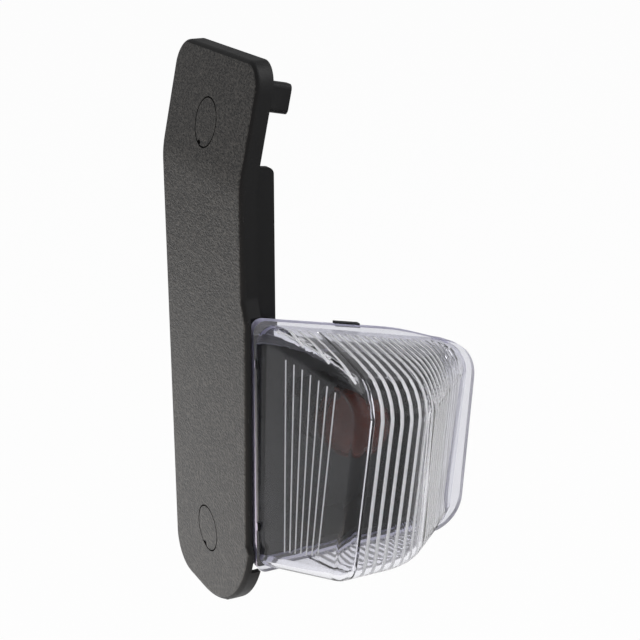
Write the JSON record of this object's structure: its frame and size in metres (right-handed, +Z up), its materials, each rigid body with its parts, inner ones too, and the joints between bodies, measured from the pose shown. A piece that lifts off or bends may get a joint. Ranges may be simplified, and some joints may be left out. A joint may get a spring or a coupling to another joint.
{
  "type": "side marker lamp",
  "caption": "Corner side marker lamp: a long grained bracket plate with a leaning upper end, and a fluted clear lens over a black housing with an amber bulb.",
  "frame": {"origin": "centre of the lower screw hole's mouth on the mounting plane", "axes": "+X inboard along the lower screw hole, +Y to the rear of the vehicle, +Z up"},
  "size_m": [0.0932, 0.1203, 0.2096],
  "materials": {
    "grained_plastic": "fine moulded grain on the outer face",
    "cap_plastic": "fine moulded grain",
    "housing_plastic": "smooth black",
    "clear_plastic": "clear and polished",
    "seal_rubber": "matt black",
    "zinc_steel": "bright zinc",
    "holder_plastic": "matt black",
    "plated_steel": "bright plated sheet",
    "amber_glass": "amber lacquer on glass",
    "nickel_brass": "nickel plate",
    "black_glass": "black glass",
    "solder": "dull solder",
    "tinned_brass": "tinned"
  },
  "bodies": {
    "root": {"bracket": "grained_plastic", "lower_screw_cap": "cap_plastic", "upper_screw_cap": "cap_plastic", "lamp_housing": "housing_plastic", "lens": "clear_plastic", "lens_clip": "housing_plastic", "lens_gasket": "seal_rubber", "housing_screws": "zinc_steel", "bulb_holder": "holder_plastic", "holder_seal": "seal_rubber", "socket_shell": "plated_steel", "bulb_glass": "amber_glass", "bulb_cap": "nickel_brass", "bulb_insulator": "black_glass", "bulb_contact": "solder", "live_terminal": "tinned_brass", "earth_terminal": "tinned_brass"}
  },
  "joints": []
}
